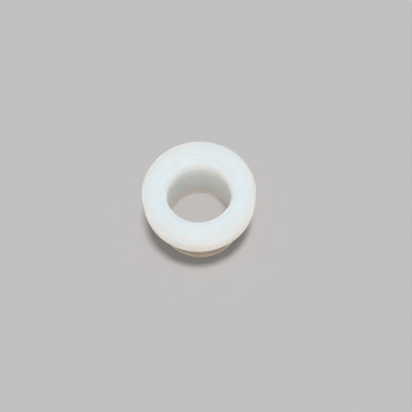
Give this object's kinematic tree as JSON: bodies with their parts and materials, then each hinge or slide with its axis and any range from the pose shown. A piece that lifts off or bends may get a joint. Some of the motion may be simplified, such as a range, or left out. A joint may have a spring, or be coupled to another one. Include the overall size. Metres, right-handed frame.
{
  "type": "flanged spacer",
  "caption": "Round flanged plastic spacer: a short sleeve with a thick flange at one end and a straight bore through both.",
  "frame": {"origin": "centre of the sleeve's free end face, on the axis of the bore", "axes": "+Z along the axis of the bore, from the sleeve's free end up to the flange"},
  "size_m": [0.0205, 0.0204, 0.0132],
  "materials": {
    "natural_nylon": "natural nylon, translucent cool white, satin as moulded"
  },
  "bodies": {
    "root": {"spacer": "natural_nylon"}
  },
  "joints": []
}
